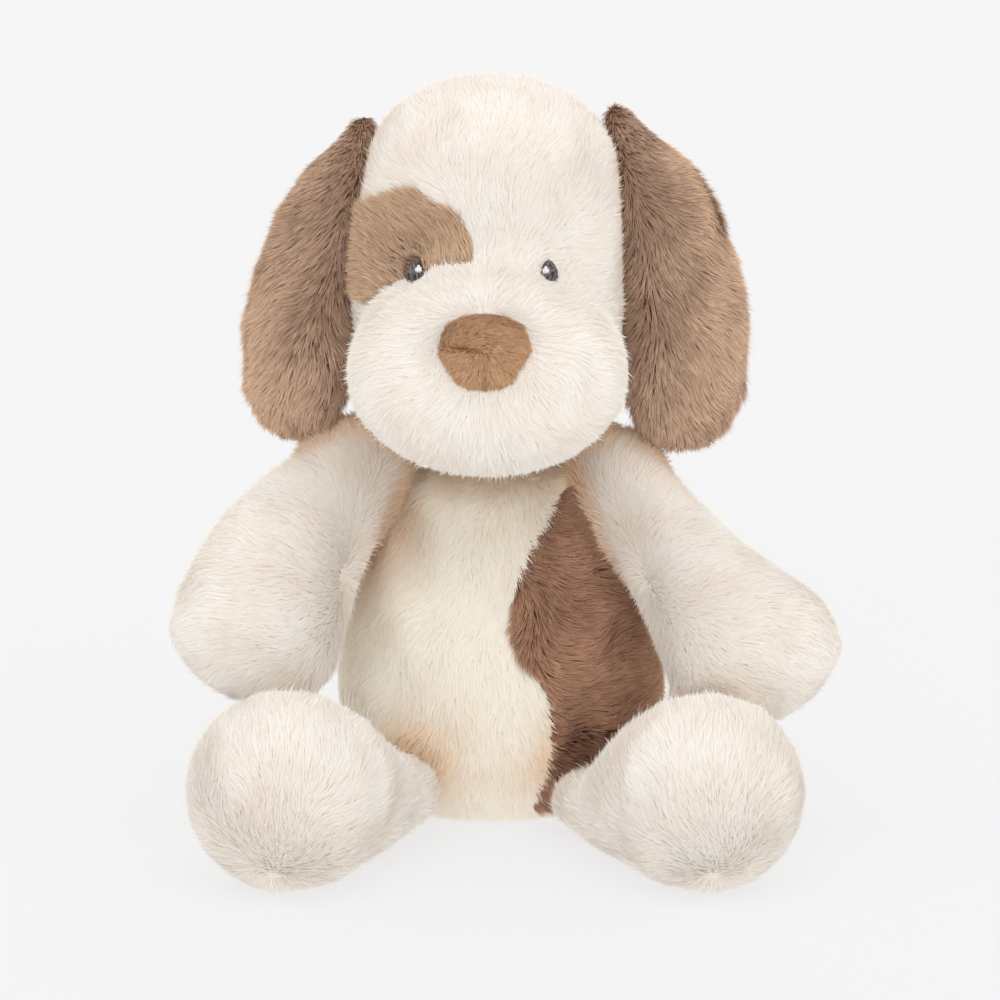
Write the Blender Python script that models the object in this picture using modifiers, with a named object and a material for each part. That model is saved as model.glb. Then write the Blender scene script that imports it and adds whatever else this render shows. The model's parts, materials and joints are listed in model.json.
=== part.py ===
"""A seated plush dog: sewn panels over stuffing, with limbs, ears, tail and head that move.

Metres, +Z up. The dog faces -Y and left is its own left, +X. Every soft shape is a form: a skin
drawn round a row of balls. A form makes a hollow cover, which seam planes cut into panels, and a
core of stuffing inside it.
"""

import bmesh
import bpy
import numpy as np
from mathutils import Matrix, Vector

# Driving dimensions, in metres.
PANEL = 0.0025            # plush fabric, backing and pressed pile together
GAP = 0.0003              # clearance between pieces that touch
FLOOR_GAP = 0.0           # the height of the surface that the toy sits on
REACH = 0.8               # larger than the toy, for cutters that stand for half a space
ORIGIN = Vector((-0.0018, 0.0192, 0.0))   # moves the middle of the toy's base to 0, 0
BASE_SEAM = 0.008         # height of the seam between the base panel and the torso panels
BEAN_TOP = 0.026          # top of the bag of pellets
SIDE_SEAM = 0.008         # depth of the torso's side seams
HEAD_SEAM = 0.002         # depth of the seam from ear to ear
HEAD_X = -0.004           # the head sits a little to the dog's right
NECK = (HEAD_X, 0.004, 0.112)

# Balls: centre, half width, half depth.
TORSO = [
    ((0.000, 0.008, 0.036), 0.0540, 0.0460),
    ((-0.001, 0.007, 0.058), 0.0535, 0.0450),
    ((-0.002, 0.006, 0.076), 0.0480, 0.0410),
    ((-0.003, 0.005, 0.094), 0.0365, 0.0335),
    ((-0.004, 0.004, 0.107), 0.0265, 0.0260),
]
CRANIUM = [
    ((HEAD_X, -0.002, 0.147), 0.0420, 0.0380),
    ((HEAD_X, -0.002, 0.170), 0.0450, 0.0430),
    ((HEAD_X, -0.001, 0.196), 0.0440, 0.0430),
    ((-0.0025, 0.001, 0.216), 0.0415, 0.0410),
]
MUZZLE = [
    ((HEAD_X, -0.026, 0.1590), 0.0440, 0.0310),
    ((HEAD_X, -0.052, 0.1575), 0.0450, 0.0325),
]
NOSE = [
    ((-0.005, -0.0820, 0.1640), 0.0115, 0.0060),
    ((-0.005, -0.0815, 0.1705), 0.0147, 0.0065),
    ((-0.005, -0.0795, 0.1755), 0.0135, 0.0060),
]
EAR_RIGHT = [
    ((-0.0452, 0.006, 0.2295), 0.0045, 0.0040),
    ((-0.0548, 0.006, 0.2090), 0.0121, 0.0080),
    ((-0.0622, 0.006, 0.1870), 0.0166, 0.0105),
    ((-0.0666, 0.005, 0.1620), 0.0201, 0.0120),
    ((-0.0669, 0.004, 0.1480), 0.0193, 0.0115),
]
EAR_LEFT = [
    ((0.0385, 0.006, 0.2335), 0.0045, 0.0040),
    ((0.0511, 0.006, 0.2100), 0.0156, 0.0085),
    ((0.0585, 0.006, 0.1870), 0.0195, 0.0110),
    ((0.0612, 0.005, 0.1620), 0.0234, 0.0120),
    ((0.0616, 0.004, 0.1445), 0.0227, 0.0115),
]
ARM_RIGHT = [
    ((-0.0460, 0.004, 0.1175), 0.0150, 0.0155),
    ((-0.0675, -0.022, 0.0965), 0.0240, 0.0215),
    ((-0.0795, -0.045, 0.0710), 0.0295, 0.0240),
]
ARM_LEFT = [
    ((0.0375, 0.004, 0.1150), 0.0140, 0.0145),
    ((0.0612, -0.028, 0.0880), 0.0185, 0.0190),
    ((0.0825, -0.050, 0.0652), 0.0305, 0.0242),
]
LEG_RIGHT = [
    ((-0.0370, -0.0460, 0.0225), 0.0170, 0.0160),
    ((-0.0510, -0.0700, 0.0270), 0.0260, 0.0250),
    ((-0.0665, -0.0980, 0.0317), 0.0335, 0.0325),
]
LEG_LEFT = [
    ((0.0340, -0.0460, 0.0225), 0.0170, 0.0160),
    ((0.0480, -0.0700, 0.0265), 0.0255, 0.0250),
    ((0.0640, -0.0980, 0.0312), 0.0330, 0.0320),
]
TAIL = [
    ((0.000, 0.0655, 0.028), 0.0090, 0.0090),
    ((0.000, 0.0780, 0.038), 0.0085, 0.0085),
    ((0.000, 0.0850, 0.050), 0.0065, 0.0065),
]

# The lengths of a form's domed first and last ends.
TORSO_CAPS = (0.044, 0.014)
CRANIUM_CAPS = (0.024, 0.032)
MUZZLE_CAPS = (0.020, 0.0325)
NOSE_CAPS = (0.0065, 0.006)
EAR_CAPS = (0.005, 0.0185)

EARS = {"left": EAR_LEFT, "right": EAR_RIGHT}
EAR_YAW = (0.8, 0.6)      # an ear's width runs outwards and back, in x and y
LIMBS = {                 # balls, lengths of the domed ends, faces round the limb
    "arm_left": (ARM_LEFT, (0.016, 0.022), 16),
    "arm_right": (ARM_RIGHT, (0.016, 0.022), 16),
    "leg_left": (LEG_LEFT, (0.017, 0.032), 16),
    "leg_right": (LEG_RIGHT, (0.017, 0.032), 16),
    "tail": (TAIL, (0.009, 0.0065), 12),
}

EYES = {"left": 0.0155, "right": -0.0270}    # each eye's x
EYE_Z = 0.1890
EYE_HALF = (0.0031, 0.0025, 0.0037)
HIGHLIGHT_HALF = (0.0011, 0.0005, 0.0013)
HIGHLIGHT_SHIFT = (0.0008, 0.0003, 0.0013)   # towards the middle, off the eye's front, and up
MUZZLE_SEAM_X = -0.005
EYE_PATCH = [(-0.051, 0.176), (-0.050, 0.195), (-0.041, 0.207), (-0.025, 0.2125), (-0.0125, 0.205),
             (-0.0085, 0.193), (-0.012, 0.180)]
PATCH_EDGE = [(0.030, 0.118), (0.0207, 0.1115), (0.013, 0.102), (0.0065, 0.090), (0.0052, 0.078),
              (0.006, 0.065), (0.0115, 0.055), (0.016, 0.0405), (0.0145, 0.025), (0.009, 0.006)]

EYE_PATCH_MARGIN = 0.03   # the hole in the forehead panel is this share larger than the patch
PATCH_OVERLAP = 0.010     # how far the brown patch's cutter runs past the side seam

BODY_MESH = (24, 14)      # faces round a form, and along it
MUZZLE_MESH = (20, 10)
LIMB_MESH = (16, 10)
NOSE_MESH = (14, 8)
EYE_MESH = (10, 6)
MERGE = 0.00005           # points nearer than this are one point

PLUSH_ROUGHNESS = 0.95
THREAD_ROUGHNESS = 0.60
CREAM = (0.87, 0.80, 0.72)
WHITE = (0.88, 0.83, 0.77)
EAR_BROWN = (0.39, 0.25, 0.17)
PATCH_BROWN = (0.24, 0.14, 0.09)
EYE_PATCH_BROWN = (0.43, 0.28, 0.19)
NOSE_BROWN = (0.40, 0.22, 0.11)
THREAD_GREY = (0.065, 0.060, 0.065)
THREAD_WHITE = (0.90, 0.90, 0.90)
WADDING = (0.92, 0.92, 0.90)
CALICO = (0.75, 0.70, 0.60)


def new_collection(name):
    collection = bpy.data.collections.new(name)
    bpy.context.scene.collection.children.link(collection)
    return collection


def material(name, colour, roughness=PLUSH_ROUGHNESS):
    """A Principled material of one colour, made once for each name."""
    found = bpy.data.materials.get(name)
    if found:
        return found
    made = bpy.data.materials.new(name)
    made.use_nodes = True
    shader = made.node_tree.nodes["Principled BSDF"]
    shader.inputs["Base Color"].default_value = (*colour, 1.0)
    shader.inputs["Roughness"].default_value = roughness
    shader.inputs["Metallic"].default_value = 0.0
    return made


def curve_through(values, at):
    """Where a smooth curve through the rows of values is, at a fractional row number."""
    rows = np.asarray(values, dtype=float)
    row = min(int(at), len(rows) - 2)
    share = at - row
    slopes = np.gradient(rows, axis=0)
    step = rows[row + 1] - rows[row]
    bend = share * (1 - share)
    return (
        rows[row] + step * share * share * (3 - 2 * share)
        + bend * ((1 - share) * slopes[row] - share * slopes[row + 1])
    )


def soft_form(name, balls, caps, width_axis=(1, 0, 0), mesh_size=LIMB_MESH):
    """A closed skin round a row of balls, with domed ends of the given lengths.

    It starts as a UV sphere, whose rings are spread along the line of the balls. Nothing of it
    goes below the floor, so what sits on the floor is flat there.
    """
    rows = [(*centre, width, depth) for centre, width, depth in balls]
    line = Vector(balls[-1][0]) - Vector(balls[0][0])
    along = line.normalized()
    wide = (Vector(width_axis) - along * along.dot(Vector(width_axis))).normalized()
    deep = along.cross(wide)
    first_cap, last_cap = caps
    whole = first_cap + line.length + last_cap
    bm = bmesh.new()
    around, lengthwise = mesh_size
    bmesh.ops.create_uvsphere(bm, u_segments=around, v_segments=lengthwise, radius=1.0)
    for vertex in bm.verts:
        x, y, z = vertex.co
        place = whole * (1 + z) / 2 - first_cap
        ring = max(np.hypot(x, y), 1e-9)
        ends = place / first_cap if place < 0 else max(0.0, (place - line.length) / last_cap)
        dome = np.sqrt(max(0.0, 1 - ends * ends))
        inside = min(max(place / line.length, 0.0), 1.0)
        *centre, width, depth = curve_through(rows, inside * (len(rows) - 1))
        beyond = place - inside * line.length
        vertex.co = (
            Vector(centre) + along * beyond
            + wide * (x / ring * width * dome) + deep * (y / ring * depth * dome)
        )
        vertex.co.z = max(vertex.co.z, FLOOR_GAP)
    bmesh.ops.remove_doubles(bm, verts=bm.verts, dist=MERGE)
    bmesh.ops.recalc_face_normals(bm, faces=bm.faces)
    mesh = bpy.data.meshes.new(name)
    bm.to_mesh(mesh)
    bm.free()
    mesh.shade_smooth()
    return mesh


def guide(name, mesh):
    """A cutter: an object that only shapes others."""
    made = bpy.data.objects.new(name, mesh)
    made.hide_render = True
    made.display_type = "WIRE"
    cutters.objects.link(made)
    return made


def grown(name, mesh, distance):
    """A form's copy, moved out along its normals by a distance, or in if it is negative."""
    made = guide(name, mesh)
    push = made.modifiers.new("grow", "DISPLACE")
    push.mid_level = 0.0
    push.strength = distance
    return made


def half_space(name, point, outward):
    """A box that fills the side of a plane that outward points to, from GAP / 2 off the plane."""
    bm = bmesh.new()
    bmesh.ops.create_cube(bm, size=REACH)
    mesh = bpy.data.meshes.new(name)
    bm.to_mesh(mesh)
    bm.free()
    made = guide(name, mesh)
    normal = Vector(outward).normalized()
    made.rotation_euler = normal.to_track_quat("Z", "Y").to_euler()
    made.location = Vector(point) + normal * (REACH / 2 + GAP / 2)
    return made


def outline_block(name, outline, near, far, cyclic=True):
    """A block with a smooth outline in x and z, that runs in y from near to far."""
    count = 4 * len(outline)
    rows = list(outline) + list(outline[:1]) if cyclic else outline
    last = len(rows) - 1
    path = [curve_through(rows, last * step / count) for step in range(count + (not cyclic))]
    if not cyclic:
        path = path + [(REACH / 2, path[-1][1]), (REACH / 2, path[0][1])]
    curve = bpy.data.curves.new(name, "CURVE")
    curve.dimensions = "2D"
    curve.fill_mode = "BOTH"
    curve.extrude = (far - near) / 2
    spline = curve.splines.new("POLY")
    spline.points.add(len(path) - 1)
    for point, (x, z) in zip(spline.points, path):
        point.co = (x, z, 0, 1)
    spline.use_cyclic_u = True
    drawn = bpy.data.objects.new(name + "_curve", curve)
    cutters.objects.link(drawn)
    bpy.context.view_layer.update()
    evaluated = drawn.evaluated_get(bpy.context.evaluated_depsgraph_get())
    mesh = bpy.data.meshes.new_from_object(evaluated)
    bpy.data.objects.remove(drawn)
    bm = bmesh.new()
    bm.from_mesh(mesh)
    bmesh.ops.remove_doubles(bm, verts=bm.verts, dist=MERGE)
    bmesh.ops.recalc_face_normals(bm, faces=bm.faces)
    upright = Matrix(((1, 0, 0), (0, 0, 1), (0, 1, 0)))
    bmesh.ops.transform(bm, matrix=upright.to_4x4(), verts=bm.verts)
    bmesh.ops.translate(bm, vec=(0, (near + far) / 2, 0), verts=bm.verts)
    bmesh.ops.reverse_faces(bm, faces=bm.faces)
    bm.to_mesh(mesh)
    bm.free()
    return guide(name, mesh)


def piece(name, mesh, body, look, depth=None, keep=(), cut=(), join=(), shrink=0.0):
    """A piece of the toy.

    depth makes the form a hollow cover of that thickness, and shrink makes it a core. The piece
    is what lies inside every keep and outside every cut, after every join is added.
    """
    made = bpy.data.objects.new(name, mesh.copy())
    toy.objects.link(made)
    made.data.materials.clear()
    made.data.materials.append(look)
    made.parent = body
    made.matrix_parent_inverse = Matrix.Translation(-body.matrix_world.translation)
    if depth:
        wall = made.modifiers.new("cover", "SOLIDIFY")
        wall.thickness = depth
        wall.offset = -1.0
    if shrink:
        core = made.modifiers.new("core", "DISPLACE")
        core.mid_level = 0.0
        core.strength = -shrink
    for operation, others in (("UNION", join), ("INTERSECT", keep), ("DIFFERENCE", cut)):
        for other in others:
            step = made.modifiers.new(f"{operation.lower()}_{other.name}", "BOOLEAN")
            step.operation = operation
            step.solver = "EXACT"
            step.object = other
    return made


def joint(name, pivot, parent=None):
    """An empty on a joint's axis, that the pieces of a moving body hang from."""
    made = bpy.data.objects.new(name, None)
    toy.objects.link(made)
    made.location = pivot
    if parent:
        made.parent = parent
        made.matrix_parent_inverse = Matrix.Translation(-parent.matrix_world.translation)
    bpy.context.view_layer.update()
    return made


def make_torso(body):
    form = soft_form("torso_form", TORSO, TORSO_CAPS, mesh_size=BODY_MESH)
    front = half_space("torso_front", (0, SIDE_SEAM, 0), (0, -1, 0))
    back = half_space("torso_back", (0, SIDE_SEAM, 0), (0, 1, 0))
    above = half_space("torso_above_base", (0, 0, BASE_SEAM), (0, 0, 1))
    below = half_space("torso_base", (0, 0, BASE_SEAM), (0, 0, -1))
    left = half_space("torso_left", (0, 0, 0), (1, 0, 0))
    right = half_space("torso_right", (0, 0, 0), (-1, 0, 0))
    behind = SIDE_SEAM + PATCH_OVERLAP
    patch = outline_block("patch_edge", PATCH_EDGE, -REACH / 2, behind, cyclic=False)
    patch_gap = outline_block("patch_edge_gap", PATCH_EDGE, -REACH / 2, behind, cyclic=False)
    patch_gap.location.x = -2 * GAP
    beans = half_space("above_beans", (0, 0, BEAN_TOP), (0, 0, 1))
    below_beans = half_space("below_beans", (0, 0, BEAN_TOP), (0, 0, -1))
    cream = material("cream_plush", CREAM)
    brown = material("dark_brown_plush", PATCH_BROWN)
    piece("torso_belly_panel", form, body, cream, PANEL, keep=(front, above), cut=(patch_gap,))
    piece("torso_patch_panel", form, body, brown, PANEL, keep=(front, above, patch))
    piece("torso_back_left_panel", form, body, cream, PANEL, keep=(back, above, left))
    piece("torso_back_right_panel", form, body, cream, PANEL, keep=(back, above, right))
    piece("torso_base_panel", form, body, cream, PANEL, keep=(below,))
    inner = PANEL + GAP
    piece("torso_stuffing", form, body, material("wadding", WADDING), shrink=inner, keep=(beans,))
    piece("pellet_bag", form, body, material("calico", CALICO), shrink=inner, keep=(below_beans,))


def make_head(body):
    cranium = soft_form("cranium_form", CRANIUM, CRANIUM_CAPS, mesh_size=BODY_MESH)
    muzzle = soft_form("muzzle_form", MUZZLE, MUZZLE_CAPS, mesh_size=MUZZLE_MESH)
    around_cranium = grown("around_cranium", cranium, GAP)
    around_muzzle = grown("around_muzzle", muzzle, GAP)
    muzzle_core = grown("muzzle_core", muzzle, -PANEL - GAP)
    front = half_space("head_front", (0, HEAD_SEAM, 0), (0, -1, 0))
    back = half_space("head_back", (0, HEAD_SEAM, 0), (0, 1, 0))
    left = half_space("head_left", (HEAD_X, 0, 0), (1, 0, 0))
    right = half_space("head_right", (HEAD_X, 0, 0), (-1, 0, 0))
    cheek_left = half_space("cheek_left", (MUZZLE_SEAM_X, 0, 0), (1, 0, 0))
    cheek_right = half_space("cheek_right", (MUZZLE_SEAM_X, 0, 0), (-1, 0, 0))
    patch = outline_block("eye_patch_outline", EYE_PATCH, -REACH / 2, 0)
    patch_gap = outline_block("eye_patch_gap", EYE_PATCH, -REACH / 2, 0)
    middle = Vector((np.mean([x for x, z in EYE_PATCH]), 0, np.mean([z for x, z in EYE_PATCH])))
    patch_gap.scale = (1 + EYE_PATCH_MARGIN, 1.0, 1 + EYE_PATCH_MARGIN)
    patch_gap.location = -EYE_PATCH_MARGIN * middle
    white = material("white_plush", WHITE)
    brown = material("eye_patch_plush", EYE_PATCH_BROWN)
    piece("head_forehead_panel", cranium, body, white, PANEL, keep=(front,),
          cut=(around_muzzle, patch_gap))
    piece("head_eye_patch", cranium, body, brown, PANEL, keep=(front, patch), cut=(around_muzzle,))
    piece("head_back_left_panel", cranium, body, white, PANEL, keep=(back, left))
    piece("head_back_right_panel", cranium, body, white, PANEL, keep=(back, right))
    piece("muzzle_left_panel", muzzle, body, white, PANEL, keep=(cheek_left,), cut=(around_cranium,))
    piece("muzzle_right_panel", muzzle, body, white, PANEL, keep=(cheek_right,), cut=(around_cranium,))
    piece("head_stuffing", cranium, body, material("wadding", WADDING), shrink=PANEL + GAP,
          join=(muzzle_core,))
    nose = soft_form("nose_form", NOSE, NOSE_CAPS, mesh_size=NOSE_MESH)
    piece("nose", nose, body, material("nose_plush", NOSE_BROWN), cut=(around_muzzle,))
    for side, x in EYES.items():
        make_eye(side, x, cranium, around_cranium, around_muzzle, body)


def ball(name, half):
    """A ball with its own half size along each axis."""
    bm = bmesh.new()
    around, lengthwise = EYE_MESH
    bmesh.ops.create_uvsphere(bm, u_segments=around, v_segments=lengthwise, radius=1.0)
    bmesh.ops.scale(bm, vec=half, verts=bm.verts)
    mesh = bpy.data.meshes.new(name)
    bm.to_mesh(mesh)
    bm.free()
    mesh.shade_smooth()
    return mesh


def face_depth(x, z):
    """The y of the front of the cranium at x and z."""
    heights = [centre[2] for centre, width, depth in CRANIUM]
    rows = [(centre[0], centre[1], width, depth) for centre, width, depth in CRANIUM]
    centre_x, centre_y, width, depth = curve_through(rows, np.interp(z, heights, range(len(rows))))
    return centre_y - depth * np.sqrt(1 - ((x - centre_x) / width) ** 2)


def make_eye(side, x, cranium, around_cranium, around_muzzle, body):
    """A raised oval of embroidery thread, and its small highlight."""
    place = Vector((x, face_depth(x, EYE_Z), EYE_Z))
    eye = piece(f"eye_{side}_thread", ball("eye_form", EYE_HALF), body,
                material("thread_grey", THREAD_GREY, THREAD_ROUGHNESS), cut=(around_cranium, around_muzzle))
    eye.location = place
    towards_middle = -1 if side == "left" else 1
    spot = piece(f"eye_{side}_highlight", ball("highlight_form", HIGHLIGHT_HALF), body,
                 material("thread_white", THREAD_WHITE, THREAD_ROUGHNESS))
    inwards, lift, up = HIGHLIGHT_SHIFT
    spot.location = place + Vector((inwards * towards_middle, -EYE_HALF[1] - lift, up))


def make_ear(side, balls, body, head_forms):
    """Two brown panels with thin wadding between them, hung from the ear's upper end."""
    width_axis = (EAR_YAW[0] if side == "left" else -EAR_YAW[0], EAR_YAW[1], 0)
    form = soft_form(f"ear_{side}_form", balls, EAR_CAPS, width_axis)
    along = Vector(balls[-1][0]) - Vector(balls[0][0])
    outward = along.cross(Vector(width_axis))
    if outward.y > 0:
        outward = -outward
    seam = balls[len(balls) // 2][0]
    front = half_space(f"ear_{side}_front", seam, outward)
    back = half_space(f"ear_{side}_back", seam, -outward)
    brown = material("brown_plush", EAR_BROWN)
    piece(f"ear_{side}_front_panel", form, body, brown, PANEL, keep=(front,), cut=head_forms)
    piece(f"ear_{side}_back_panel", form, body, brown, PANEL, keep=(back,), cut=head_forms)
    piece(f"ear_{side}_wadding", form, body, material("wadding", WADDING), cut=head_forms,
          shrink=PANEL + GAP)


def make_limb(name, balls, caps, faces_round, body):
    """A top and an under panel of white plush round a core of stuffing."""
    form = soft_form(f"{name}_form", balls, caps, mesh_size=(faces_round, LIMB_MESH[1]))
    along = Vector(balls[-1][0]) - Vector(balls[0][0])
    side = along.cross(Vector((0, 0, 1)))
    upward = side.cross(along)
    middle = balls[1][0]
    top = half_space(f"{name}_top", middle, upward)
    under = half_space(f"{name}_under", middle, -upward)
    white = material("white_plush", WHITE)
    piece(f"{name}_top_panel", form, body, white, PANEL, keep=(top,))
    piece(f"{name}_under_panel", form, body, white, PANEL, keep=(under,))
    piece(f"{name}_stuffing", form, body, material("wadding", WADDING), shrink=PANEL + GAP)


def make_dog():
    torso = joint("plush_dog", (0, 0, 0))
    head = joint("neck_joint", NECK, torso)
    make_torso(torso)
    make_head(head)
    around_head = grown("around_head", bpy.data.meshes["cranium_form"], 2 * GAP)
    for side, balls in EARS.items():
        make_ear(side, balls, joint(f"ear_{side}_joint", balls[0][0], head), (around_head,))
    for name, (balls, caps, faces_round) in LIMBS.items():
        pivot = joint(f"{name}_joint", balls[0][0], torso)
        make_limb(name, balls, caps, faces_round, pivot)
    for cutter in cutters.objects:
        cutter.parent = torso
    torso.location = ORIGIN


for old in list(bpy.data.objects):
    bpy.data.objects.remove(old)
toy = new_collection("plush_dog")
cutters = new_collection("cutters")
make_dog()
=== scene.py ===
"""The looks of a seated plush dog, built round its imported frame.

Each moving body gets one closed form from its CAD panels. The form is puffed by cloth pressure
with its seams held, then cut into a skin for each panel, and each skin grows its own pile: short
flat hairs that lean with the nap. Metres, +Z up; the dog faces -Y and left is its own left, +X.
"""

import json
import math
from collections import namedtuple

import bmesh
import bpy
import numpy as np
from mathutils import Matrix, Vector
from mathutils.bvhtree import BVHTree
from mathutils.kdtree import KDTree


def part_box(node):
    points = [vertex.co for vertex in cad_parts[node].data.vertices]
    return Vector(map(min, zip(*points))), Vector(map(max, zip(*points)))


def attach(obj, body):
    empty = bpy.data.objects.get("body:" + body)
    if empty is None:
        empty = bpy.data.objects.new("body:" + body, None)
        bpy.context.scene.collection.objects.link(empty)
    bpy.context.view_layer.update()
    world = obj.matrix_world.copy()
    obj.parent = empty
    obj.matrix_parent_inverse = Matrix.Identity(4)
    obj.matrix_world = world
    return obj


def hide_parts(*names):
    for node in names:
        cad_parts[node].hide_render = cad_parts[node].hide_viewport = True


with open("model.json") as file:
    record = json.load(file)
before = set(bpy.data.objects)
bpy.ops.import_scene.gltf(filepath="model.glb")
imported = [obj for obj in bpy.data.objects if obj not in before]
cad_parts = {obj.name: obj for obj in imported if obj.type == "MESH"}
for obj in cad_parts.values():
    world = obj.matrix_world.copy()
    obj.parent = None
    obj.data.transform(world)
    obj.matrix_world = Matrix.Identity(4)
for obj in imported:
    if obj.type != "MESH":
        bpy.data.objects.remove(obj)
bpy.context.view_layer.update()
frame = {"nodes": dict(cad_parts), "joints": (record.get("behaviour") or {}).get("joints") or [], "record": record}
rng = np.random.default_rng(7)

FLOOR_GAP = 0.0002        # nothing of the toy is lower than this

# The form under the pile
INSET = 0.0008            # from a CAD panel's face to the skin that the leaning pile stands on
THIN_INSET = 0.0002       # the same for the ears and tail, whose thin edges a remesh rounds off
SKIN_WALL = 0.0010        # knitted backing
FORM_VOXEL = 0.0036       # size of the faces that the cloth simulation works on
THIN_VOXEL = 0.0015       # the same for the ears and tail
STUFFING_VOXEL = 0.003
STUFFING_INSET = 0.0045   # from a CAD stuffing's face to the visible one, which clears the skin
PRESSURE = 4.0            # of the stuffing on the cloth
PUFF_FRAMES = 20          # how long the cloth has to swell
PUFF_CAP = 0.0022         # the furthest that pressure moves a form's point
SEAM_REACH = 0.0022       # how near a seam a point must be to be held by it

# Where two bodies meet. A reach is a pair of distances: fully so within the first, not beyond the second
JOINT_REACH = (0.004, 0.012)    # of the swelling and the upright pile beside another body
JOINT_SWELL = 0.0028      # the most that a form grows there, so no gap shows between the two
JOINT_SHARE = 0.45        # the most of the gap that one of the two fills
JOINT_LIFT = 0.75         # how much more upright, in radians, pale pile stands there
CREASE_SHADE_REACH = (0.003, 0.016)   # of the painted shade in the crease beside another body
HOLLOW_SHADE_REACH = (0.006, 0.034)   # of the fainter painted shade in the hollow round a crease
THIGH_REACH = (0.015, 0.055)    # from a leg's root, of its pressing down
THIGH_PRESS = {"leg_left": 0.34, "leg_right": 0.20}   # the share of its height that the root loses

# One hair
PILE = 0.0066             # length
BEND = 0.25               # how much further its outer half lies over, in radians
ROOT_DEPTH = 0.0004       # how far below the skin's face it starts
SWIRL_SIZE = 0.018        # of the swirls in the nap
TUFT_SHADE_SIZE = 0.0011  # of the patches where tufts are lighter or darker
STRAY_LEAN = 0.35         # how much more upright, in radians, the few stray hairs stand
TURN_NOISE = 0.14         # spread of its direction, in radians
LEAN_NOISE = 0.07         # spread of its lean, in radians
LENGTH_NOISE = 0.13       # spread of its length, as a share
MAX_HAIRS = 60000         # in one piece

BODIES = frame["record"]["behaviour"]["bodies"]
SLOTS = {part["node"]: part["material_slot"] for part in frame["record"]["subparts"]}
PALE = ("white_plush", "cream_plush")     # light goes through these hairs, so they cast no shadow
INNER = ("stuffing", "wadding", "pellet_bag", "thread", "highlight")
LIMBS = ("arm_left", "arm_right", "leg_left", "leg_right")
DOWN = np.array([0.0, 0.0, -1.0])
BACK = np.array([0.0, 1.0, 0.0])
OUT = np.array([1.0, 0.0, 0.0])           # to the dog's left


def centre(node):
    low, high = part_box(node)
    return (low + high) / 2


def panels_of(body):
    """The names of a body's outer plush panels."""
    return [n for n in BODIES[body] if n != "nose" and not n.endswith(INNER)]


def panel_box(body):
    """The lowest and highest corners of a body's panels."""
    boxes = [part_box(node) for node in panels_of(body)]
    low = np.min([np.array(low) for low, high in boxes], axis=0)
    high = np.max([np.array(high) for low, high in boxes], axis=0)
    return low, high


def root_of(body):
    """Where a body hangs on its parent."""
    return np.array(next(j["pos_m"] for j in frame["joints"] if j["child"] == body))


def is_thin(body):
    return body == "tail" or body.startswith("ear")


def ramp(values, low, high):
    """0 below low, 1 above high, and smooth between."""
    share = np.clip((values - low) / (high - low), 0, 1)
    return share * share * (3 - 2 * share)


def unit(vectors):
    return vectors / np.maximum(np.linalg.norm(vectors, axis=-1, keepdims=True), 1e-12)


# ---------------------------------------------------------------- meshes

def put(name, mesh):
    made = bpy.data.objects.new(name, mesh)
    bpy.context.scene.collection.objects.link(made)
    return made


def points_of(mesh):
    flat = np.zeros(len(mesh.vertices) * 3)
    mesh.vertices.foreach_get("co", flat)
    return flat.reshape(-1, 3)


def normals_of(mesh):
    flat = np.zeros(len(mesh.vertices) * 3)
    mesh.vertices.foreach_get("normal", flat)
    return flat.reshape(-1, 3)


def move_points(mesh, points):
    mesh.vertices.foreach_set("co", np.ascontiguousarray(points).ravel())
    mesh.update()


def evaluated(made):
    """The object's mesh with its modifiers applied; the object is removed."""
    bpy.context.view_layer.update()
    graph = bpy.context.evaluated_depsgraph_get()
    mesh = bpy.data.meshes.new_from_object(made.evaluated_get(graph))
    bpy.data.objects.remove(made)
    return mesh


def relax(mesh, rounds, forth=0.50, back=-0.52):
    """Evens a mesh out. The steps back keep its size, and a positive back shrinks its bumps."""
    points = points_of(mesh)
    edges = np.zeros(len(mesh.edges) * 2, dtype=int)
    mesh.edges.foreach_get("vertices", edges)
    edges = edges.reshape(-1, 2)
    count = np.bincount(edges.ravel(), minlength=len(points))[:, None]
    for step in range(2 * rounds):
        total = np.zeros_like(points)
        np.add.at(total, edges[:, 0], points[edges[:, 1]])
        np.add.at(total, edges[:, 1], points[edges[:, 0]])
        pull = forth if step % 2 == 0 else back
        points = points + pull * (total / np.maximum(count, 1) - points)
    move_points(mesh, points)


def fill_creases(mesh, rounds, share):
    """Moves a mesh's points out towards a smoothed copy of it, and none of them in."""
    smooth = mesh.copy()
    relax(smooth, rounds, back=0.5)
    points, normals = points_of(mesh), normals_of(mesh)
    out = ((points_of(smooth) - points) * normals).sum(axis=1)
    move_points(mesh, points + share * np.maximum(out, 0)[:, None] * normals)
    bpy.data.meshes.remove(smooth)


def joined(name, nodes):
    """One object with copies of the CAD nodes' meshes."""
    bm = bmesh.new()
    for node in nodes:
        bm.from_mesh(frame["nodes"][node].data)
    mesh = bpy.data.meshes.new(name)
    bm.to_mesh(mesh)
    bm.free()
    return put(name, mesh)


def closed_form(name, nodes, voxel, inset):
    """A smooth closed mesh round the CAD nodes, moved in by an inset."""
    start = joined(name, nodes)
    remesh = start.modifiers.new("remesh", "REMESH")
    remesh.mode = "VOXEL"
    remesh.voxel_size = voxel
    mesh = evaluated(start)
    relax(mesh, 4)
    move_points(mesh, points_of(mesh) - inset * normals_of(mesh))
    return mesh


def surface_tree(nodes):
    """A tree that finds the nearest point on the CAD nodes' faces."""
    bm = bmesh.new()
    for node in nodes:
        bm.from_mesh(frame["nodes"][node].data)
    tree = BVHTree.FromBMesh(bm)
    bm.free()
    return tree


def distances(points, nodes):
    """How far each point is from the nearest of the CAD nodes."""
    tree = surface_tree(nodes)
    return np.array([tree.find_nearest(Vector(point))[3] for point in points])


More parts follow.
